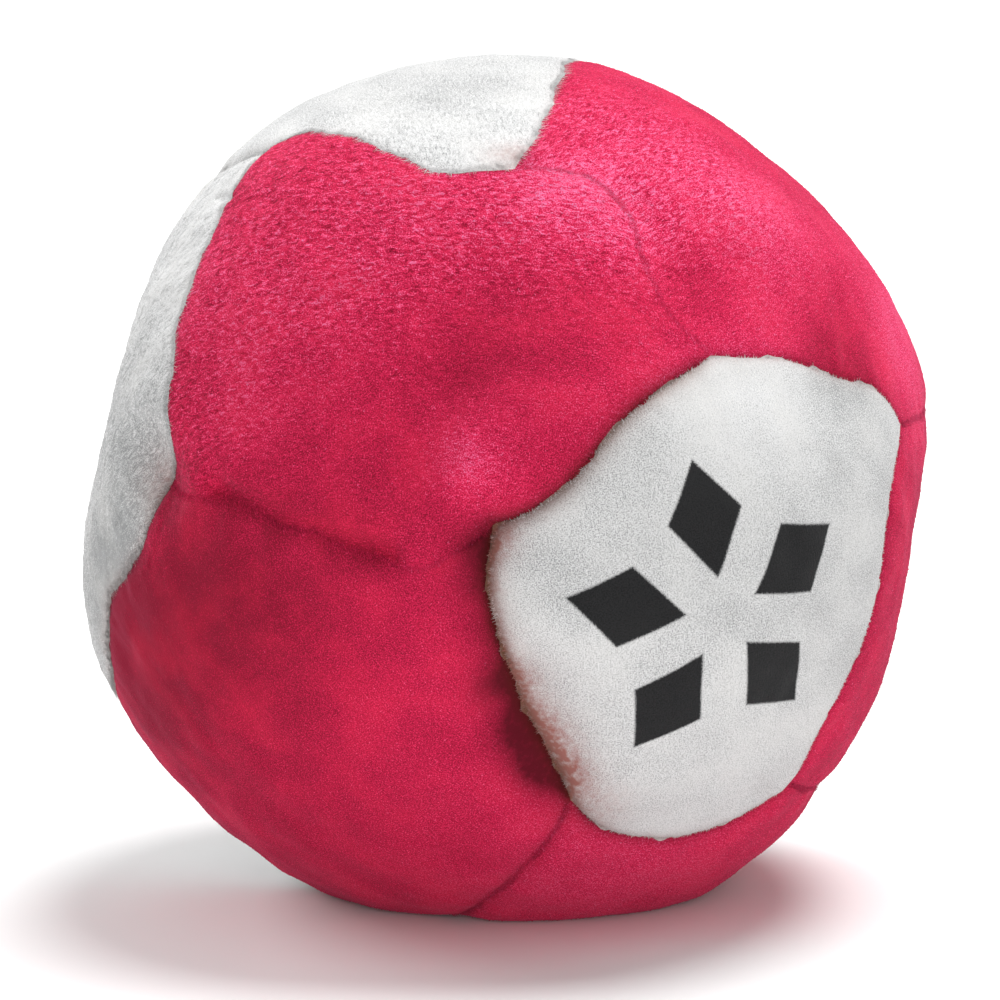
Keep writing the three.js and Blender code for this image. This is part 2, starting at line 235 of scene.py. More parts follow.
usual_corner_depth = 0.9 * mm

# How much dirt has gathered in a seam, painted darker still for shade the deeper the seam rolls in,
# how strongly the edges of a red panel and a white one mark each other there, the red dye staining
# the white and the red painted darker for shade, and how far that reaches
seam_dirt_stain_and_shade = {
    "front lower_left": (0.95, 0.75, 0.45 * mm),
    "front upper_left": (0.85, 0.35, 0.5 * mm),
    "front upper_right": (0.35, 0.4, 0.25 * mm),
    "front right": (0.2, 0.35, 0.25 * mm),
    "front bottom": (0.4, 0.45, 0.3 * mm),
    "upper_left top": (0, 0.05, 0.4 * mm),
    "upper_left left": (0, 0.05, 0.4 * mm),
    "upper_right top": (0, 0.1, 0.4 * mm),
    "lower_left left": (0.3, 0.3, 0.4 * mm),
    "upper_left lower_left": (0.12, 0, 0.5 * mm),
    "lower_left bottom": (0.45, 0, 0.5 * mm),
    "upper_left upper_right": (0, 0, 0.5 * mm),
    "right upper_right": (0.1, 0, 0.5 * mm),
    "bottom right": (0.2, 0, 0.5 * mm),
}
usual_dirt_stain_and_shade = (0.3, 0.4, 0.6 * mm)
# Dirt and painted shade reach full strength at this seam depth, and fade over this reach
full_dirt_and_shade_depth = 0.6 * mm
deepest = 1.9 * mm
dirt_and_shade_reach = 0.45 * mm
rolls_merge = 0.4 * mm
roll_roundness = 0.98
seam_near = 0.2 * mm

# The needle's holes pull the edge into scallops, and small puckers run off them into the panel.
# Both come and go along the seam by the share that beat gives.
beat_share = 0.6
scallop_length = 1.6 * mm
scallop_height = 0.05 * mm
stray_length = 5 * mm
stray_height = 0.14 * mm
pucker_length = 1.9 * mm
pucker_reach = 0.7 * mm
pucker_height = 0.035 * mm
gather_length = 4.6 * mm
gather_reach = 1.9 * mm
gather_height = 0.045 * mm
seam_steps = 24
seam_depth_places = (0, 0.08, 0.5, 0.92, 1)

# Folds and dents of the slack suede: the turn and height of both ends, width and depth
folds = [
    ((-4, 34), (-9, 24), 2.2 * mm, 0.5 * mm),
    ((-9, 24), (-13, 13), 1.8 * mm, 0.8 * mm),
    ((-56, 10), (-51, 7), 1.6 * mm, 0.9 * mm),
    ((-58, 18), (-54, 16), 1.5 * mm, -0.5 * mm),
    ((-5, 15), (1, 13), 1.8 * mm, -0.6 * mm),
    ((-64, 46.5), (-72, 46), 0.25 * mm, 0.25 * mm),
    ((44, 46), (78, 30), 3 * mm, -0.35 * mm),
    ((40, 37), (74, 21), 2.4 * mm, 0.4 * mm),
    ((-2, -8), (3, -17), 2 * mm, 0.5 * mm),
    ((3, -17), (7, -31), 1.8 * mm, 0.9 * mm),
    ((-41, 8), (-15, 1.7), 0.55 * mm, 1.05 * mm),
    ((-5, 2), (-4, -5), 1.6 * mm, 0.6 * mm),
    ((10, 75), (2, 66), 2 * mm, 0.6 * mm),
    ((27, 48.5), (30, 32), 1.1 * mm, 0.3 * mm),
]

# Patches of the nap, each with its turn and height, its spread in degrees, and how strong it is.
# Hands and shoes have brushed the nap lighter or darker, and the same patches paint light and shade:
# highlights on bulges, rims and the underside, and shade in hollows, along folds and on the lower
# left. In places the nap stands up in rows. Where the suede is creased most, the bag is soiled, and
# the creases are painted darker for their shade.
brushed_and_painted_light_patches = [
    ((-39, -4), 11, -0.34),
    ((-60, -14), 12, -0.42),
    ((-55, -1), 4, 0.3),
    ((-36, 6.8), 2.4, -0.2),
    ((-30, 5.4), 2.4, -0.25),
    ((-24, 3.9), 2.4, -0.3),
    ((-18, 2.5), 2.2, -0.25),
    ((-34, 3.6), 2.4, 0.2),
    ((-27, 2), 2.4, 0.2),
    ((-13, 13), 6, -0.14),
    ((-4, 30), 6, -0.16),
    ((-5, 14), 3.5, 0.34),
    ((-39, 13), 7, 0.16),
    ((-55, 30), 9, 0.14),
    ((12, 18), 7, 0.08),
    ((-20, 50), 8, 0.1),
    ((14, 52), 6, 0.34),
    ((30, 60), 12, 0.18),
    ((14, 33), 7, -0.1),
    ((-8, -6), 6, 0.02),
    ((-12, -30), 14, 0.03),
    ((22, 42), 4, 0.2),
    ((52, 42), 9, 0.26),
    ((34, 33), 7, -0.22),
    ((60, 22), 7, -0.3),
    ((90, -2), 14, -0.18),
    ((80, 22), 10, 0.5),
    ((-17, -22), 9, 0.05),
    ((20, -54), 16, 0.3),
    ((-30, -20), 16, -0.1),
    ((34, 22), 8, 0.45),
    ((-64, 15), 14, -0.3),
    ((-68, -26), 9, -0.3),
    ((-63, -8), 9, -0.4),
    ((-40, 72), 15, -0.15),
]
ruffled_patches = [
    ((-52, 38), 20, 0.8),
    ((-25, 56), 18, 0.7),
    ((-5, 14), 5, 0.4),
    ((-50, 14), 9, 0.4),
    ((-55, -1), 4, 0.5),
    ((20, 58), 16, 0.7),
    ((42, 48), 14, 0.5),
    ((150, 40), 25, 0.6),
    ((-140, 0), 20, 0.5),
]
# Soiled creases: dirt, and painted shade where the suede folds in most
soiled_and_shaded_patches = [
    ((-2, -10), 2.5, 0.3),
    ((1, -17), 2.6, 0.7),
    ((4, -25), 3.2, 1),
    ((8, -31), 3, 1),
    ((15, -36), 3, 0.3),
    ((-2.3, -16.7), 2.2, 0.4),
    ((1.4, -23.7), 2.2, 0.5),
    ((4.4, -29.7), 2, 0.5),
    ((-1, 4), 2, 0.5),
    ((-4, 2), 2.2, 0.7),
    ((-4, -3), 2, 0.5),
    ((-55, 8), 3, 0.3),
    ((2, 59), 2.5, 0.35),
]


def direction(turn, height):
    turn, height = math.radians(turn), math.radians(height)
    level = math.cos(height)
    return np.array([level * math.sin(turn), -level * math.cos(turn), math.sin(height)])


def unit(vectors):
    return vectors / np.linalg.norm(vectors, axis=-1, keepdims=True)


corners = {name: direction(*degrees) for name, degrees in corner_degrees.items()}
lumps = [(direction(*at), math.radians(spread), rise) for at, spread, rise in lump_shares]


def sew_panels():
    seams, panels = [], {}
    for name, (colour, nap_lay, fluff, *names) in panel_layout.items():
        sides = []
        for start, end in zip(names, names[1:] + names[:1]):
            shared = next((s for s in seams if s["ends"] == (end, start)), None)
            if shared:
                shared["panels"].append(name)
                sides.append((shared, True))
            else:
                seams.append({"ends": (start, end), "panels": [name]})
                sides.append((seams[-1], False))
        panels[name] = {"name": name, "colour": colour, "nap_lay": nap_lay, "fluff": fluff}
        panels[name]["sides"] = sides
    for number, seam in enumerate(seams):
        names = " ".join(seam["panels"])
        seam["bend"] = seam_bend_shares.get(names, (0, 0))
        seam["roll"] = seam_rolls.get(names, usual_roll)
        seam["stain_and_shade"] = seam_dirt_stain_and_shade.get(names, usual_dirt_stain_and_shade)
        seam["phases"] = np.random.default_rng(number).uniform(0, 2 * math.pi, 8)
        seam["line"] = seam_way(seam, np.linspace(0, 1, seam_steps + 1), scalloped=False) * ball_radius
        seam["length"] = np.linalg.norm(np.diff(seam["line"], axis=0), axis=1).sum()
    return panels


# The directions, seen from the ball's middle, of places along a seam
def seam_way(seam, along, scalloped=True):
    start, end = (corners[name] for name in seam["ends"])
    angle = math.acos(start @ end)
    side = unit(np.cross(start, end))
    bends = enumerate(seam["bend"], 1)
    stray = sum(share * np.sin(math.pi * halves * along) for halves, share in bends)
    if scalloped:
        stray = stray + scallops(seam, along)
    from_start = np.sin((1 - along) * angle) / math.sin(angle)
    from_end = np.sin(along * angle) / math.sin(angle)
    return unit(np.outer(from_start, start) + np.outer(from_end, end) + np.outer(stray, side))


def scallops(seam, along):
    phases = seam["phases"]
    place = along * seam["length"] * 2 * math.pi
    beat = 1 + beat_share * np.sin(place / stray_length + phases[0])
    fine = scallop_height * beat * np.sin(place / scallop_length + phases[1])
    broad = stray_height * np.sin(place / stray_length + phases[2])
    ends_held = np.sqrt(np.sin(math.pi * np.clip(along, 0, 1)))
    return (fine + broad) * ends_held / ball_radius


def round_radius(ways):
    share = np.ones(len(ways))
    for middle, spread, rise in lumps:
        away = np.arccos(np.clip(ways @ middle, -1, 1)) / spread
        share += rise * np.exp(-away * away / 2)
    return ball_radius * share


def settle(height):
    pressed = (height + sit_softness) ** 2 / (4 * sit_softness)
    return np.where(height <= -sit_softness, 0, np.where(height >= sit_softness, height, pressed))


def on_the_bag(ways, depths):
    points = ways * round_radius(ways)[:, None]
    points[:, 2] = settle(points[:, 2] + sit_height) - sit_height
    points -= ways * depths[:, None]
    points[:, 2] += sit_height
    return points


def fold_depths(ways):
    depths = np.zeros(len(ways))
    for start, end, width, depth in folds:
        start, end = direction(*start) * ball_radius, direction(*end) * ball_radius
        run = end - start
        share = np.clip((ways * ball_radius - start) @ run / (run @ run), 0, 1)
        away = np.linalg.norm(ways * ball_radius - start - share[:, None] * run, axis=1)
        depths += depth * np.exp(-((away / width) ** 2) / 2)
    return depths


def patch_sums(patches, ways):
    sums = np.zeros(len(ways))
    for at, spread, strength in patches:
        away = np.degrees(np.arccos(np.clip(ways @ direction(*at), -1, 1))) / spread
        sums += strength * np.exp(-away * away / 2)
    return sums


# How far points lie from a seam's line, and the share of the way along it
def beside_seam(points, seam):
    nearest = np.full(len(points), np.inf)
    along = np.zeros(len(points))
    for step, (start, end) in enumerate(zip(seam["line"], seam["line"][1:])):
        run = end - start
        share = np.clip((points - start) @ run / (run @ run), 0, 1)
        distance = np.linalg.norm(points - start - share[:, None] * run, axis=1)
        closer = distance < nearest
        nearest[closer] = distance[closer]
        along[closer] = (step + share[closer]) / seam_steps
    return nearest, along


# How deep the panel rolls into its seams, how dirty and how stained it is beside them, with painted
# shade in the deeper seams and on the red beside a white panel, and how far from them it is
def seam_fields(panel, ways):
    points = ways * ball_radius
    distances, depths, widths, rises, dirts_and_shades, stains_and_shades, reaches = [], [], [], [], [], [], []
    for seam, backwards in panel["sides"]:
        distance, along = beside_seam(points, seam)
        run_depths, first_width, second_width = seam["roll"]
        start, end = (corner_depths.get(corner, usual_corner_depth) for corner in seam["ends"])
        distances.append(distance)
        depths.append(np.interp(along, seam_depth_places, (start, *run_depths, end)))
        widths.append(np.full(len(points), second_width if backwards else first_width))
        rises.append(puckers(seam, distance, along))
        dirt_and_shade, stain_and_shade, reach = seam["stain_and_shade"]
        other = panel_layout[seam["panels"][0 if backwards else 1]][0]
        dirts_and_shades.append(np.full(len(points), dirt_and_shade))
        stains_and_shades.append(np.full(len(points), stain_and_shade * (other != panel["colour"])))
        reaches.append(np.full(len(points), reach))
    distances = np.array(distances)
    near = 1 / (distances**2 + seam_near**2)
    near /= near.sum(axis=0)
    depth = (near * depths).sum(axis=0)
    width = (near * widths).sum(axis=0)
    merged = -rolls_merge * np.log(np.exp(-distances / rolls_merge).sum(axis=0))
    rolled = 1 - np.clip(merged / width, 0, 1)
    sunk = depth * (1 - np.sqrt(1 - rolled**2 * roll_roundness))
    sunk += fold_depths(ways) - (np.array(rises) * near).sum(axis=0)
    nearest = distances.min(axis=0)
    # Dirt and painted shade, the stronger the deeper the seam rolls in
    dirt_and_shade = (near * dirts_and_shades).sum(axis=0) * np.clip(depth / full_dirt_and_shade_depth, 0, 1)
    stain_and_shade = (near * stains_and_shades).sum(axis=0) * np.exp(-nearest / (near * reaches).sum(axis=0))
    return sunk, dirt_and_shade * np.exp(-nearest / dirt_and_shade_reach), stain_and_shade, nearest


def puckers(seam, distance, along):
    phases = seam["phases"]
    place = along * seam["length"] * 2 * math.pi
    beat = beat_share * (1 + np.sin(place / stray_length + phases[3]))
    fine = pucker_height * beat * np.sin(place / pucker_length + phases[4])
    broad = gather_height * np.sin(place / gather_length + phases[5])
    near = distance / pucker_reach
    far = distance / gather_reach
    return fine * near * np.exp(1 - near) + broad * far * np.exp(1 - far)


# The way that a panel's nap lies, and where the cloth that a panel was cut from carried its
# points, with the nap along the cloth's first way
uv_span = 50 * mm
cloth_middle = 0.45
ruffled_most = {"red": 1, "white": 0.8}
smooth_fluff = 0.8
ruffled_lightens = 0.2


def nap_way(panel):
    middle = panel["middle"]
    level = unit(np.cross((0, 0, 1), middle))
    lay = math.radians(panel["nap_lay"])
    return level * math.cos(lay) + np.cross(middle, level) * math.sin(lay)


def places_on_cloth(panel, ways):
    middle, along = panel["middle"], nap_way(panel)
    aside = np.stack([ways @ along, ways @ np.cross(middle, along)], axis=1)
    away = np.arccos(np.clip(ways @ middle, -1, 1))
    reach = away / np.maximum(np.linalg.norm(aside, axis=1), 1e-6) * ball_radius
    return cloth_middle + aside * reach[:, None] / uv_span


# The flat cut's points become places on the bag: the outline lies along the seams, and what was
# below the flat lies below the suede's face
def sewn(panel, flat):
    turn = (np.arctan2(flat[:, 1], flat[:, 0]) - math.pi / 2) % (2 * math.pi)
    corner_turn = 2 * math.pi / cut_sides
    side = np.minimum(turn // corner_turn, cut_sides - 1).astype(int)
    off_middle = turn - (side + 0.5) * corner_turn
    outline = cut_radius * math.cos(corner_turn / 2) / np.cos(off_middle)
    share = np.linalg.norm(flat[:, :2], axis=1) / outline
    along = 0.5 + np.tan(off_middle) / (2 * math.tan(corner_turn / 2))
    ways = np.zeros((len(flat), 3))
    for number, (seam, backwards) in enumerate(panel["sides"]):
        here = side == number
        ways[here] = seam_way(seam, 1 - along[here] if backwards else along[here])
    middle = unit(sum(seam["line"].sum(axis=0) for seam, backwards in panel["sides"]))
    panel["middle"] = middle
    ways = unit(middle * (1 - share[:, None]) + ways * share[:, None])
    sunk, dirt_and_shade, stain_and_shade, distance = seam_fields(panel, ways)
    sunk = deepest * np.tanh(sunk / deepest)
    ruffled = panel["fluff"] - smooth_fluff + patch_sums(ruffled_patches, ways)
    ruffled = np.clip(ruffled, 0, 1)
    ruffled *= ruffled_most[panel["colour"]]
    marks = {
        # The seam mark is dirt, with painted shade in the deeper seams
        "seam": dirt_and_shade,
        # Beside a seam: the red dye's stain on the white, painted shade on the red, dirt and shade in
        # creases
        "beyond": np.clip(stain_and_shade + patch_sums(soiled_and_shaded_patches, ways), 0, 1),
        # The brushed tone carries painted light and shade besides the nap's own tone
        "brushed": patch_sums(brushed_and_painted_light_patches, ways) + ruffled_lightens * ruffled,
        "ruffled": ruffled,
        "cloth": places_on_cloth(panel, ways),
    }
    return on_the_bag(ways, sunk - flat[:, 2]), distance, marks


# Suede
# Synthetic suede is a felt of fine polyester fibres, sheared and brushed to a short nap. The nap
# lies in clumps, with painted light on top and painted shade between, and glows where the eye meets
# it edge on.
clump_length = 0.36 * mm
clump_width = 0.15 * mm
ruffle_length = 0.5 * mm
ruffle_width = 0.2 * mm
brushed_patch = 5 * mm
fibre_grit = 0.09 * mm
stain_blot = 0.45 * mm

# Where the five shades lie on the scale of tones, how much the clumps, the patches, the grit of single
# fibres and each tuft's own tone move it, and where and how far the dye has faded. The clumps move it
# as painted light on their tops and painted shade between them. Single fibres are too fine to show,
# so the grit is drawn as coarse as it needs to be.
shade_places = (0.22, 0.5, 0.63, 0.8, 1)
clump_painted_light_and_shade = (0.3, 1)
patch_contrast = 0.25
grit_contrast = 0.9
tone_contrast = 0.5
faded_patches = (0.45, 0.75)
faded_most = 0.3
relief_height = 0.05 * mm
clump_relief = (0.8, 2)
grit_relief = 0.5


def shade(hex_colour):
    parts = [int(hex_colour[i : i + 2], 16) / 255 for i in (1, 3, 5)]
    linear = [p / 12.92 if p <= 0.04045 else ((p + 0.055) / 1.055) ** 2.4 for p in parts]
    return (*linear, 1)


def add_node(tree, kind, settings={}, links={}):
    node = tree.nodes.new(kind)
    for name, value in settings.items():
        if isinstance(name, int) or name in node.inputs:
            node.inputs[name].default_value = value
        else:
            setattr(node, name, value)
    for name, source in links.items():
        tree.links.new(source, node.inputs[name])
    return node


def ramp(tree, stops, source):
    node = add_node(tree, "ShaderNodeValToRGB", links={"Fac": source})
    while len(node.color_ramp.elements) < len(stops):
        node.color_ramp.elements.new(0.5)
    for element, (place, colour) in zip(node.color_ramp.elements, stops):
        element.position = place
        element.color = colour
    return node.outputs["Color"]


# A printed ring of five kites, each a fifth of a turn on, in ink that the nap has worn a little.
# The print is flat on to the turn and height of its middle, and turned a little about it.
print_at = (28, -7)
print_turn = 8
kites = 5
kite_tips = (2.6 * mm, 9.8 * mm)
kite_widest = (6.4 * mm, 2.6 * mm)
ink_edge = 0.09 * mm
ink_fray = 0.36 * mm
ink_cover = 0.97


def figure(tree, operation, *values):
    numbers = {place: v for place, v in enumerate(values) if isinstance(v, (int, float))}
    sources = {place: v for place, v in enumerate(values) if place not in numbers}
    return add_node(tree, "ShaderNodeMath", {"operation": operation, **numbers}, sources).outputs[0]


def five_kites(tree, grit):
    middle = Vector(direction(*print_at))
    turned = middle.to_track_quat("Z", "Y").to_euler()
    where = add_node(tree, "ShaderNodeTexCoord").outputs["Object"]
    facing = add_node(
        tree,
        "ShaderNodeMapping",
        {"vector_type": "TEXTURE", "Rotation": turned, "Location": (0, 0, sit_height)},
        {"Vector": where},
    ).outputs["Vector"]
    split = add_node(tree, "ShaderNodeSeparateXYZ", links={"Vector": facing})
    x, y = split.outputs["X"], split.outputs["Y"]
    kite_turn = 2 * math.pi / kites
    turns = figure(tree, "DIVIDE", figure(tree, "ARCTAN2", y, x), kite_turn)
    turns = figure(tree, "FRACT", figure(tree, "ADD", turns, kites + print_turn * kites / 360))
    turn = figure(tree, "MULTIPLY", figure(tree, "SUBTRACT", turns, 0.5), kite_turn)
    squares = figure(tree, "MULTIPLY_ADD", x, x, figure(tree, "MULTIPLY", y, y))
    radius = figure(tree, "SQRT", squares)
    out = figure(tree, "MULTIPLY", radius, figure(tree, "COSINE", turn))
    aside = figure(tree, "ABSOLUTE", figure(tree, "MULTIPLY", radius, figure(tree, "SINE", turn)))
    (inner, outer), (widest, half_width) = kite_tips, kite_widest
    rise, fall = half_width / (widest - inner), half_width / (outer - widest)
    near = figure(tree, "MULTIPLY_ADD", out, rise, -inner * rise)
    far = figure(tree, "MULTIPLY_ADD", out, -fall, outer * fall)
    inside = figure(tree, "SUBTRACT", figure(tree, "MINIMUM", near, far), aside)
    speckle = figure(tree, "SUBTRACT", grit, 0.5)
    frayed = figure(tree, "MULTIPLY_ADD", speckle, ink_fray, inside)
    return add_node(
        tree,
        "ShaderNodeMapRange",
        {"From Min": -ink_edge, "From Max": ink_edge, "To Min": 0, "To Max": ink_cover},
        {"Value": frayed},
    ).outputs["Result"]


def suede(name, shades, faded, sheen, seam_dirt_and_shade, stain_and_shade, blotchy, printed=False):
    material = bpy.data.materials.new(name)
    material.use_nodes = True
    tree = material.node_tree
    tree.nodes.clear()
    cut = add_node(tree, "ShaderNodeUVMap", {"uv_map": "OFBake"}).outputs["UV"]
    ruffled = add_node(tree, "ShaderNodeAttribute", {"attribute_name": "ruffled"}).outputs["Fac"]
    clumps = []
    for length, width in ((clump_length, clump_width), (ruffle_length, ruffle_width)):
        along_nap = add_node(
            tree,
            "ShaderNodeMapping",
            {"Scale": (uv_span / length, uv_span / width, 1)},
            {"Vector": cut},
        ).outputs["Vector"]
        noise = add_node(
            tree,
            "ShaderNodeTexNoise",
            {"noise_dimensions": "2D", "Scale": 1, "Detail": 2, "Distortion": 0.8},
            {"Vector": along_nap},
        )
        clumps.append(noise.outputs["Fac"])
    clumps = add_node(
        tree, "ShaderNodeMix", {"data_type": "FLOAT"}, {0: ruffled, 2: clumps[0], 3: clumps[1]}
    ).outputs[0]
    patches = add_node(
        tree,
        "ShaderNodeTexNoise",
        {"noise_dimensions": "2D", "Scale": uv_span / brushed_patch, "Detail": 3},
        {"Vector": cut},
    ).outputs["Fac"]
    grit = add_node(
        tree,
        "ShaderNodeTexNoise",
        {"noise_dimensions": "2D", "Scale": uv_span / fibre_grit, "Detail": 1},
        {"Vector": cut},
    ).outputs["Fac"]
    tone = add_node(tree, "ShaderNodeAttribute", {"attribute_name": "tone"}).outputs["Fac"]
    # Clumps, patches, grit and tufts each add to or take from the middle tone; the clumps add painted
    # light on their tops and painted shade between them
    least, most = clump_painted_light_and_shade
    strength = figure(tree, "MULTIPLY_ADD", ruffled, most - least, least)
    clumped = figure(tree, "SUBTRACT", clumps, 0.5)
    toned = figure(tree, "MULTIPLY_ADD", clumped, strength, patch_contrast / 2)
    toned = figure(tree, "MULTIPLY_ADD", patches, patch_contrast, toned)
    toned = figure(tree, "SUBTRACT", toned, grit_contrast / 2)
    toned = figure(tree, "MULTIPLY_ADD", grit, grit_contrast, toned)
    toned = figure(tree, "MULTIPLY_ADD", tone, tone_contrast, toned)
    stops = [(place, shade(colour)) for place, colour in zip(shade_places, shades)]
    fades_from, fades_to = faded_patches
    fading = add_node(
        tree,
        "ShaderNodeMapRange",
        {"From Min": fades_from, "From Max": fades_to, "To Min": 0, "To Max": faded_most},
        {"Value": patches},
    ).outputs["Result"]
    colour = add_node(
        tree,
        "ShaderNodeMix",
        {"data_type": "RGBA", 7: shade(faded)},
        {0: fading, 6: ramp(tree, stops, toned)},
    ).outputs[2]
    # Beside a seam the red dye stains the white and the red is painted darker for shade, in blots
    beyond = add_node(tree, "ShaderNodeAttribute", {"attribute_name": "beyond"}).outputs["Fac"]
    mottle = add_node(
        tree,
        "ShaderNodeTexNoise",
        {"noise_dimensions": "2D", "Scale": uv_span / stain_blot, "Detail": 3},
        {"Vector": cut},
    ).outputs["Fac"]
    blots = figure(tree, "MULTIPLY_ADD", mottle, 4 * blotchy, 1 - 2 * blotchy)
    blotted_stain_and_shade = add_node(
        tree, "ShaderNodeMath", {"operation": "MULTIPLY", "use_clamp": True}, {0: beyond, 1: blots}
    ).outputs[0]
    with_stain_and_shade = add_node(
        tree,
        "ShaderNodeMix",
        {"data_type": "RGBA", 7: shade(stain_and_shade)},
        {0: blotted_stain_and_shade, 6: colour},
    ).outputs[2]
    # Dirt and painted shade in the seams, darker the deeper the seam
    seam = add_node(tree, "ShaderNodeAttribute", {"attribute_name": "seam"}).outputs["Fac"]
    dusty_and_shaded = add_node(
        tree,
        "ShaderNodeMix",
        {"data_type": "RGBA", 7: shade(seam_dirt_and_shade)},
        {0: seam, 6: with_stain_and_shade},
    ).outputs[2]
    surface_colour = dusty_and_shaded
    if printed:
        surface_colour = add_node(
            tree,
            "ShaderNodeMix",
            {"data_type": "RGBA", 7: shade("#0e0e10")},
            {0: five_kites(tree, grit), 6: dusty_and_shaded},
        ).outputs[2]
    least, most = clump_relief
    swell = figure(tree, "MULTIPLY_ADD", ruffled, most - least, least)
    rise = figure(tree, "MULTIPLY", clumps, swell)
    relief = figure(tree, "MULTIPLY_ADD", grit, grit_relief, rise)
    bump = add_node(
        tree, "ShaderNodeBump", {"Strength": 0.6, "Distance": relief_height}, {"Height": relief}
    ).outputs["Normal"]
    cloth = add_node(
        tree,
        "ShaderNodeBsdfPrincipled",
        {
            "Roughness": 0.95,
            "Specular IOR Level": 0.06,
            "Sheen Weight": 0.18,
            "Sheen Roughness": 0.4,
            "Sheen Tint": shade(sheen),
        },
        {"Base Color": surface_colour, "Normal": bump},
    ).outputs["BSDF"]
    add_node(tree, "ShaderNodeOutputMaterial", links={"Surface": cloth})
    return material


# From the painted shade between the clumps to the painted light on the lightest tips, then the faded
# dye, the sheen, the dirt and painted shade in a seam, what the other panel leaves beside it (the red
# dye's stain on the white, painted shade on the red), and how far that breaks up into blots
red_cloth = {
    "shades": ("#80162c", "#c02048", "#d82c56", "#e65e8c", "#d67ea6"),
    "faded": "#cc2640",
    "sheen": "#ff88b0",
    "seam_dirt_and_shade": "#481a12",
    "stain_and_shade": "#5c1220",
    "blotchy": 0.1,
}
white_cloth = {
    "shades": ("#949595", "#cdcdcd", "#d5d5d5", "#dddddd", "#f6f2ea"),
    "faded": "#cbcac7",
    "sheen": "#ffffff",
    "seam_dirt_and_shade": "#5e4230",
    "stain_and_shade": "#96625c",
    "blotchy": 0.4,
}
suedes = {
    "red": suede("crimson suede", **red_cloth),
    "white": suede("white suede", **white_cloth),
    "printed": suede("printed white suede", **white_cloth, printed=True),
}


# The panels
# Each panel of the bag, sewn in place: its face bulges with the pellets behind it, and its edges
# roll over into the seams.
# The face between the tufts takes a darker tone, painted shade under them
shaded_base_tone = 0.36
pellet_size = 3.4 * mm
pellet_bulge = 0.34 * mm
clump_rise = 0.24 * mm
clump_span = 0.34 * mm
clump_stretch = 2.2
seam_calm = 1.2 * mm
tucked_span = 0.02
tucked_middle = 0.93


def suede_of(panel):
    return suedes["printed" if panel["name"] == "front" else panel["colour"]]


def set_attribute(mesh, name, values):
    attribute = mesh.attributes.new(name, "FLOAT", "POINT")
    attribute.data.foreach_set("value", values.astype(np.float32))


def read_points(mesh):
    points = np.empty(len(mesh.vertices) * 3)
    mesh.vertices.foreach_get("co", points)
    return points.reshape(-1, 3)


def displace(piece, texture, strength, group, lay=None):
    push = piece.modifiers.new("push", "DISPLACE")
    push.texture = texture
    push.strength = strength
    push.vertex_group = group
    push.texture_coords = "LOCAL"
    if lay:
        push.texture_coords = "OBJECT"
        push.texture_coords_object = lay
    bpy.ops.object.modifier_apply(modifier=push.name)


# An empty frame along a panel's nap: the clump noise is long along its X
def nap_frame(panel):
    middle, along = Vector(panel["middle"]), Vector(nap_way(panel))
    turned = Matrix((along, middle.cross(along), middle)).transposed().to_4x4()
    empty = bpy.data.objects.new("nap frame", None)
    bpy.context.scene.collection.objects.link(empty)
    empty.matrix_world = turned @ Matrix.Diagonal((clump_stretch, 1, 1, 1))
    bpy.context.view_layer.update()
    return empty


pellets_behind = bpy.data.textures.new("pellets behind", "CLOUDS")
pellets_behind.noise_scale = pellet_size
pellets_behind.noise_depth = 1
clumped_nap = bpy.data.textures.new("clumped nap", "CLOUDS")
clumped_nap.noise_scale = clump_span
clumped_nap.noise_depth = 1


# The shown face takes its place on the cloth, and what is turned in is laid small in a corner
def cut_map(mesh, flat, cloth):
    face = np.empty(len(mesh.loops), int)
    mesh.loops.foreach_get("vertex_index", face)
    hidden = np.zeros(len(mesh.polygons), bool)
    for number, polygon in enumerate(mesh.polygons):
        hidden[number] = any(flat[v, 2] < -suede_thickness / 2 for v in polygon.vertices)
    loops = np.repeat(hidden, [p.loop_total for p in mesh.polygons])
    turn = np.arctan2(flat[:, 1], flat[:, 0])
    reach = 1 + np.linalg.norm(flat[:, :2], axis=1) / cut_radius * 2 + flat[:, 2] / seam_allowance
    tucked = np.stack([np.cos(turn), np.sin(turn)], axis=1) * reach[:, None]
    tucked = tucked * tucked_span + tucked_middle
    uv = np.where(loops[:, None], tucked[face], cloth[face])
    layer = mesh.uv_layers.new(name="OFBake")
    layer.data.foreach_set("uv", uv.astype(np.float32).ravel())


def make_panel(cut, panel):
    piece = cut.copy()
    piece.data = cut.data.copy()
    piece.name = piece.data.name = f"suede_{panel['name']}"
    bpy.context.scene.collection.objects.link(piece)
    bpy.context.view_layer.objects.active = piece
    flat = read_points(piece.data)
    points, distance, marks = sewn(panel, flat)
    piece.data.vertices.foreach_set("co", points.ravel())
    shown = flat[:, 2] > -suede_thickness / 2
    panel |= {"shown": shown, "marks": marks}
    free = np.clip(distance / seam_calm, 0, 1) * shown
    for name, amount in (("free", free), ("ruffled", free * marks["ruffled"])):
        group = piece.vertex_groups.new(name=name)
        levels = np.round(amount, 2)
        for level in np.unique(levels):
            group.add(np.nonzero(levels == level)[0].tolist(), float(level), "REPLACE")
    cut_map(piece.data, flat, marks["cloth"])
    displace(piece, pellets_behind, pellet_bulge, "free")
    lay = nap_frame(panel)
    displace(piece, clumped_nap, clump_rise, "ruffled", lay)
    bpy.data.objects.remove(lay)
    points = read_points(piece.data)
    points[:, 2] = np.maximum(points[:, 2], 0)
    piece.data.vertices.foreach_set("co", points.ravel())
    piece.vertex_groups.clear()
    set_attribute(piece.data, "tone", shaded_base_tone + marks["brushed"])
    for name in ("seam", "beyond", "ruffled"):
        set_attribute(piece.data, name, marks[name])
    piece.data.shade_smooth()
    piece.data.materials.append(suede_of(panel))
    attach(piece, "root")
    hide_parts(f"panel_{panel['name']}")
    return piece


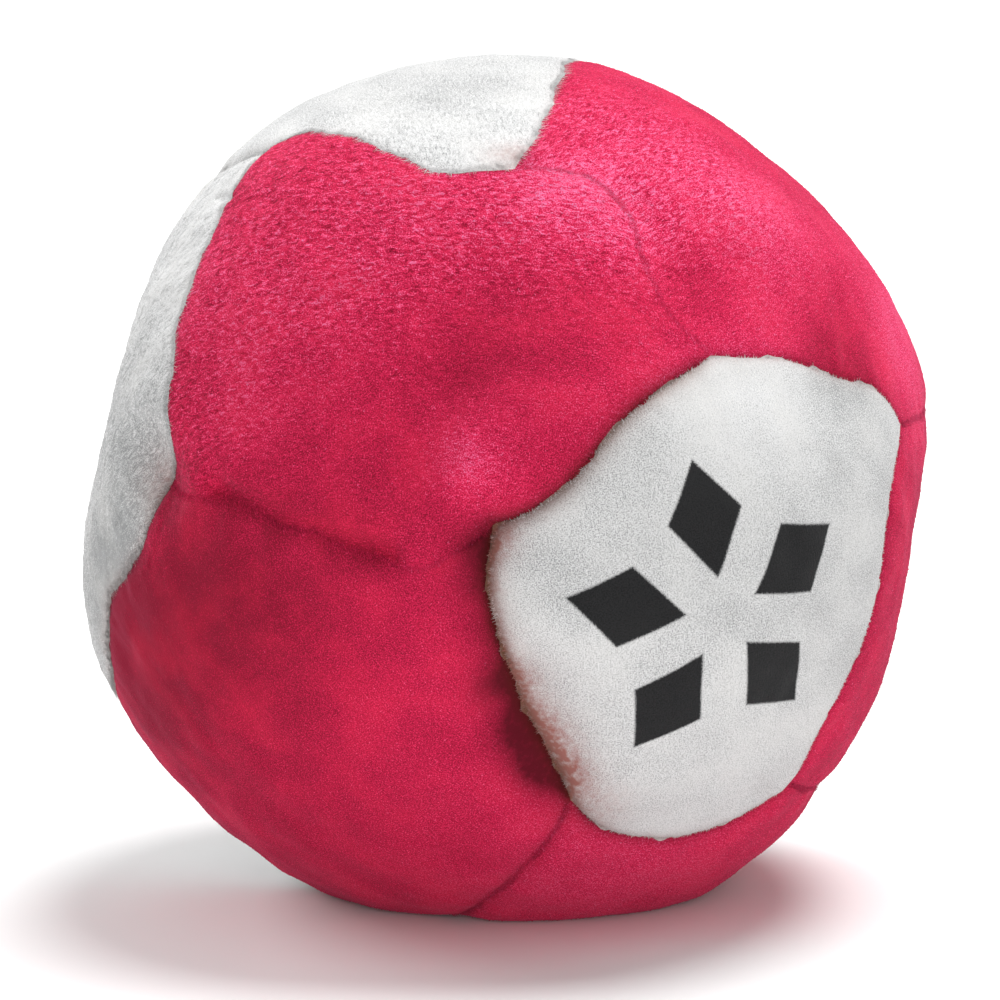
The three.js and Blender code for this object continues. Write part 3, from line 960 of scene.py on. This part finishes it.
panels = sew_panels()
cut = flat_cut()
for panel in panels.values():
    panel["piece"] = make_panel(cut, panel)
bpy.data.objects.remove(cut)


# The nap
# The brushed fibres stand off the suede in short tufts that lean one way over each panel, and
# longer ones reach out of the cut edges over the seams.
tufts_per_mm2 = 22
tuft_length = 0.17 * mm
tuft_width = 0.1 * mm
tuft_flatness = 0.45
tuft_glint = 0.12
tuft_sunk = 0.02 * mm
tuft_lift = (6, 30)
tuft_stray = 60
tuft_lengths = (0.6, 1.4)
tuft_widths = (0.7, 1.3)
tuft_tone = 0.52
tuft_tone_spread = 0.12
# Each tuft is painted lighter at its tip and darker at its root, for light on the tip and shade below
tip_painted_light = 0.14
root_painted_shade = 0.08
white_lies_lower = 0.4
fringe_width = 0.05 * mm
fringe_flatness = 0.15
fringe_stray = 35
fringe_lengths = (0.3, 1)
fringe_tones = (0.4, 0.6)
fringe_light = {"red": 0.6, "white": 1, "printed": 1}
fringe_dirt_and_shade = 0.3
alike_reach = 0.5 * mm
first_seed = 100

# How many fibres reach out of a millimetre of a panel's edge, how far from the edge they may be
# rooted, the longest, and how high they rise. Over a seam between two red ones they lie longer.
fringes = {
    "red": (50, (0, 0.3 * mm), 0.15 * mm, (3, 25)),
    "white": (40, (0.1 * mm, 0.4 * mm), 1 * mm, (3, 18)),
    "printed": (28, (0, 0.3 * mm), 0.3 * mm, (3, 20)),
}


def one_tuft():
    bpy.ops.object.select_all(action="DESELECT")
    bpy.ops.mesh.primitive_cone_add(vertices=3, radius1=0.5, depth=1, location=(0, 0, 0.5))
    tuft = bpy.context.active_object
    bpy.ops.object.transform_apply(location=True, rotation=False, scale=False)
    points = read_points(tuft.data)
    faces = np.array([tuple(face.vertices) for face in tuft.data.polygons])
    bpy.data.objects.remove(tuft)
    return points, faces


def leaning(ways, normals, strays, lifts):
    across = np.cross(normals, ways)
    turned = ways * np.cos(strays)[:, None] + across * np.sin(strays)[:, None]
    return turned * np.cos(lifts)[:, None] + normals * np.sin(lifts)[:, None]


def flattened(ways, normals):
    return unit(ways - normals * (ways * normals).sum(axis=1)[:, None])


# The tufts of the shown face, which stand on it alone, so that they take no slant from its edge
def face_tufts(panel, rng):
    mesh = panel["piece"].data
    points = read_points(mesh)
    shown = panel["shown"]
    quads = [tuple(p.vertices) for p in mesh.polygons if p.loop_total == 4]
    quads = np.array([q for q in quads if shown[list(q)].all()])
    spans = points[quads[:, 2]] - points[quads[:, 0]], points[quads[:, 3]] - points[quads[:, 1]]
    facing = np.cross(*spans)
    areas = np.linalg.norm(facing, axis=1) / 2
    normals = np.full(points.shape, 1e-12)
    np.add.at(normals, quads.ravel(), np.repeat(facing, 4, axis=0))
    normals = unit(normals)
    count = int(areas.sum() / mm**2 * tufts_per_mm2)
    chosen = quads[rng.choice(len(quads), count, p=areas / areas.sum())]
    u, v = rng.uniform(0, 1, (2, count, 1))
    weights = np.concatenate([(1 - u) * (1 - v), u * (1 - v), u * v, (1 - u) * v], axis=1)

    def spread(values):
        return np.einsum("nk,nk...->n...", weights, values[chosen])

    normals = unit(spread(normals))
    ways = flattened(np.tile(nap_way(panel), (count, 1)), normals)
    strays = np.radians(rng.normal(0, tuft_stray, count))
    lifts = np.radians(rng.uniform(*tuft_lift, count))
    if panel["colour"] == "white":
        lifts *= white_lies_lower
    lengths = tuft_length * panel["fluff"] * rng.uniform(*tuft_lengths, count)
    marks = {name: spread(values) for name, values in panel["marks"].items()}
    tones = rng.normal(tuft_tone, tuft_tone_spread, count) + marks.pop("brushed")
    return {
        "roots": spread(points) - normals * tuft_sunk,
        "ways": leaning(ways, normals, strays, lifts),
        "normals": normals,
        "lengths": lengths,
        "widths": tuft_width * rng.uniform(*tuft_widths, count),
        "flats": np.full(count, tuft_flatness),
        "tones": np.clip(tones, 0, 1),
        **marks,
    }


# The fibres that reach out of the cut edges, leaning over the seams
def edge_tufts(panel, rng):
    kind = "printed" if panel["name"] == "front" else panel["colour"]
    per_mm, rooted, longest, fringe_lift = fringes[kind]
    parts = []
    for number, (seam, backwards) in enumerate(panel["sides"]):
        other = panel_layout[seam["panels"][0 if backwards else 1]][0]
        reach_out = alike_reach if kind == other == "red" else longest
        count = int(seam["length"] / mm * per_mm)
        along = rng.uniform(0.01, 0.99, count)
        inset = rng.uniform(*rooted, count)
        corner_turn = 2 * math.pi / cut_sides
        off_middle = np.arctan((along - 0.5) * 2 * math.tan(corner_turn / 2))
        turn = off_middle + (number + 0.5) * corner_turn + math.pi / 2
        apothem = cut_radius * math.cos(corner_turn / 2)
        reach = (apothem - inset) / np.cos(off_middle)
        flat = np.stack([reach * np.cos(turn), reach * np.sin(turn), np.zeros(count)], axis=1)
        points, distance, marks = sewn(panel, flat)
        normals = unit(points - np.array([0, 0, sit_height]))
        run = np.gradient(seam["line"], axis=0)
        step = (1 - along if backwards else along) * seam_steps
        run = run[np.round(step).astype(int)] * (-1 if backwards else 1)
        ways = flattened(np.cross(unit(run), normals), normals)
        strays = np.radians(rng.normal(0, fringe_stray, count))
        lifts = np.radians(rng.uniform(*fringe_lift, count))
        lightened = fringe_light[kind] * marks["brushed"]
        part = {
            "roots": points - normals * tuft_sunk,
            "ways": leaning(ways, normals, strays, lifts),
            "normals": normals,
            "lengths": rng.uniform(*fringe_lengths, count) * reach_out,
            "widths": fringe_width * rng.uniform(*tuft_widths, count),
            "flats": np.full(count, fringe_flatness),
            "tones": np.clip(rng.uniform(*fringe_tones, count) + lightened, 0, 1),
            "cloth": marks["cloth"],
            # The fringe takes a share of the seam's dirt and painted shade
            "seam": fringe_dirt_and_shade * marks["seam"],
            "beyond": marks["beyond"],
            "ruffled": marks["ruffled"],
        }
        parts.append(part)
    return {name: np.concatenate([part[name] for part in parts]) for name in parts[0]}


def make_nap(panel, number, tuft):
    rng = np.random.default_rng(first_seed + number)
    groups = [face_tufts(panel, rng), edge_tufts(panel, rng)]
    tufts = {name: np.concatenate([g[name] for g in groups]) for name in groups[0]}
    shape, faces = tuft
    count = len(tufts["roots"])
    ways = tufts["ways"]
    aside = unit(np.cross(tufts["normals"], ways))
    upward = np.cross(ways, aside)
    wide, long = tufts["widths"][:, None, None], tufts["lengths"][:, None, None]
    high = wide * tufts["flats"][:, None, None]
    offsets = (
        shape[None, :, 0, None] * aside[:, None] * wide
        + shape[None, :, 1, None] * upward[:, None] * high
        + shape[None, :, 2, None] * ways[:, None] * long
    )
    points = (tufts["roots"][:, None] + offsets).reshape(-1, 3)
    points[:, 2] = np.maximum(points[:, 2], 0)
    corners_of = (faces[None] + np.arange(count)[:, None, None] * len(shape)).reshape(-1)
    mesh = bpy.data.meshes.new(f"nap_{panel['name']}")
    mesh.vertices.add(len(points))
    mesh.vertices.foreach_set("co", points.ravel())
    mesh.loops.add(len(corners_of))
    mesh.loops.foreach_set("vertex_index", corners_of)
    mesh.polygons.add(len(corners_of) // 3)
    mesh.polygons.foreach_set("loop_start", np.arange(0, len(corners_of), 3))
    mesh.update(calc_edges=True)
    tips = np.tile(shape[:, 2], count)
    # Painted light at each tuft's tip and painted shade at its root
    tones = np.repeat(tufts["tones"], len(shape)) + tips * tip_painted_light - root_painted_shade
    set_attribute(mesh, "tone", tones)
    for name in ("seam", "beyond", "ruffled"):
        set_attribute(mesh, name, np.repeat(tufts[name], len(shape)))
    places = np.repeat(tufts["cloth"], len(shape), axis=0)
    places[:, 0] += tips * np.repeat(tufts["lengths"], len(shape)) / uv_span
    layer = mesh.uv_layers.new(name="OFBake")
    layer.data.foreach_set("uv", places[corners_of].astype(np.float32).ravel())
    mesh.shade_smooth()
    shown_normals = unit(tufts["normals"] + rng.normal(0, tuft_glint, (count, 3)))
    mesh.normals_split_custom_set_from_vertices(np.repeat(shown_normals, len(shape), axis=0))
    mesh.materials.append(suede_of(panel))
    piece = bpy.data.objects.new(mesh.name, mesh)
    bpy.context.scene.collection.objects.link(piece)
    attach(piece, "root")


tuft = one_tuft()
for number, panel in enumerate(panels.values()):
    make_nap(panel, number, tuft)


# The pellets
# Loose moulded pellets fill the bag up to the suede's wrong side, and lie under the turned-in
# edges. They are drawn as one heap with the pellets standing out of its surface.
pellet_depth = 2.3 * mm
under_edges = 5.2 * mm
edges_reach = 2.4 * mm
pellet_bump = 0.5 * mm

bpy.ops.object.select_all(action="DESELECT")
bpy.ops.mesh.primitive_ico_sphere_add(subdivisions=6, radius=ball_radius)
heap = bpy.context.active_object
heap.name = heap.data.name = "pellets"
ways = unit(read_points(heap.data))
seams = {id(seam): seam for panel in panels.values() for seam, backwards in panel["sides"]}
from_seams = np.min([beside_seam(ways * ball_radius, s)[0] for s in seams.values()], axis=0)
under = np.exp(-((from_seams / edges_reach) ** 4))
depths = pellet_depth + (under_edges - pellet_depth) * under
heap.data.vertices.foreach_set("co", on_the_bag(ways, depths).ravel())
pellet_cells = bpy.data.textures.new("pellet cells", "VORONOI")
pellet_cells.noise_scale = pellet_size
pellets_out = heap.modifiers.new("pellets out", "DISPLACE")
pellets_out.texture = pellet_cells
pellets_out.mid_level = 0
pellets_out.strength = -pellet_bump
bpy.ops.object.modifier_apply(modifier=pellets_out.name)
heap.data.shade_smooth()
heap_map = heap.data.uv_layers.active
heap_map.name = "OFBake"

# Moulded polyethylene, milky and slightly glossy, each pellet a little darker or lighter
pellet_plastic = bpy.data.materials.new("moulded pellets")
pellet_plastic.use_nodes = True
tree = pellet_plastic.node_tree
where = add_node(tree, "ShaderNodeTexCoord").outputs["Object"]
each = add_node(tree, "ShaderNodeTexVoronoi", {"Scale": 1 / pellet_size}, {"Vector": where})
stops = [(0, shade("#cfc9ba")), (1, shade("#e4dfd2"))]
tint = ramp(tree, stops, each.outputs["Distance"])
body = tree.nodes["Principled BSDF"]
tree.links.new(tint, body.inputs["Base Color"])
body.inputs["Roughness"].default_value = 0.45
heap.data.materials.append(pellet_plastic)
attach(heap, "root")
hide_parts("pellet_filling")


# The threads
# Spun polyester sewing thread, in a running stitch through both turned-in edges of each seam. Two
# plies twist round each other and leave slanting shadows, too fine to see but from close by.
ply_pitch = 0.7 * mm
thread = bpy.data.materials.new("spun polyester thread")
thread.use_nodes = True
tree = thread.node_tree
where = add_node(tree, "ShaderNodeTexCoord").outputs["Object"]
plies = add_node(
    tree,
    "ShaderNodeTexWave",
    {"bands_direction": "DIAGONAL", "Scale": 1 / ply_pitch / 6, "Distortion": 1},
    {"Vector": where},
).outputs["Fac"]
tint = ramp(tree, [(0, shade("#d8cfc0")), (1, shade("#f4efe6"))], plies)
body = tree.nodes["Principled BSDF"]
tree.links.new(tint, body.inputs["Base Color"])
body.inputs["Roughness"].default_value = 0.7
body.inputs["Sheen Weight"].default_value = 0.3
relief = add_node(
    tree, "ShaderNodeBump", {"Strength": 0.5, "Distance": 0.05 * mm}, {"Height": plies}
).outputs["Normal"]
tree.links.new(relief, body.inputs["Normal"])
for node in bpy.data.objects:
    if node.type == "MESH" and node.name.startswith("thread_"):
        for slot in node.material_slots:
            slot.material = thread


# The table and the light
# The bag lies on a plain pale table under soft studio light from above and the right.
bpy.ops.object.select_all(action="DESELECT")
bpy.ops.mesh.primitive_plane_add(size=6)
table = bpy.context.active_object
table.name = "table"
table_paint = bpy.data.materials.new("pale matt paint")
table_paint.use_nodes = True
body = table_paint.node_tree.nodes["Principled BSDF"]
body.inputs["Base Color"].default_value = shade("#f4f4f4")
body.inputs["Roughness"].default_value = 0.9
table.data.materials.append(table_paint)

world = bpy.data.worlds.new("studio")
bpy.context.scene.world = world
world.use_nodes = True
sky = world.node_tree.nodes["Background"]
sky.inputs["Color"].default_value = (1, 1, 1, 1)
sky.inputs["Strength"].default_value = 0.445


def soft_box(name, place, size, power):
    lamp = bpy.data.lights.new(name, "AREA")
    lamp.shape = "DISK"
    lamp.size = size
    lamp.energy = power
    box = bpy.data.objects.new(name, lamp)
    bpy.context.scene.collection.objects.link(box)
    box.location = place
    aim = Vector((0, 0, sit_height)) - Vector(place)
    box.rotation_euler = aim.to_track_quat("-Z", "Y").to_euler()


soft_box("key", (0.2, 0.2, 0.85), 0.5, 9)
soft_box("left rim", (-0.6, 0.5, 0.4), 0.5, 4)
soft_box("front", (0.1, -0.8, 0.1), 0.5, 2.6)

# The camera looks at the bag from the front, a little from above, from far off
view_height = 10
view_distance = 420 * mm
view_way = Vector((0, -math.cos(math.radians(view_height)), math.sin(math.radians(view_height))))
camera = bpy.data.cameras.new("camera")
camera.lens = 231
camera.shift_x = -0.005
camera.shift_y = -0.01
eye = bpy.data.objects.new("camera", camera)
bpy.context.scene.collection.objects.link(eye)
eye.location = Vector((0, 0, sit_height)) + view_way * view_distance
eye.rotation_euler = (-view_way).to_track_quat("-Z", "Y").to_euler()
bpy.context.scene.camera = eye
bpy.context.scene.view_settings.view_transform = "Standard"
